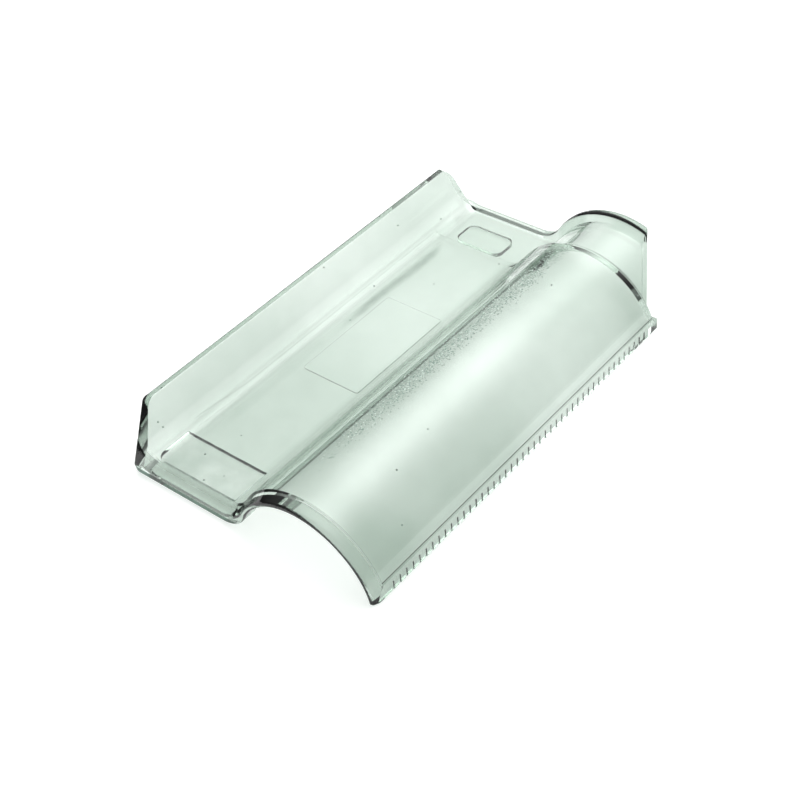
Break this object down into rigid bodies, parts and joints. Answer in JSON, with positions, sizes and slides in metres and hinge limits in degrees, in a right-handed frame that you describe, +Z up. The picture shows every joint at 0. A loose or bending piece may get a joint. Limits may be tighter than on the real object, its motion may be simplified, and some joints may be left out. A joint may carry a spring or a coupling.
{
  "type": "glass roof tile",
  "caption": "Pressed clear glass roof tile with a flat pan, a side upstand, a half-round barrel and a lowered neck at the head that the next tile covers.",
  "frame": {"origin": "middle of the bounding box, on the plane that the tile lies on", "axes": "+X across the roof towards the barrel side, +Y up the roof slope from the eave end to the head end, +Z up out of the roof"},
  "size_m": [0.268, 0.44, 0.0626],
  "materials": {
    "clear_glass": "pressed pale green glass, glossy, with a stippled flank on the barrel"
  },
  "bodies": {
    "root": {"glass_tile": "clear_glass"}
  },
  "joints": []
}
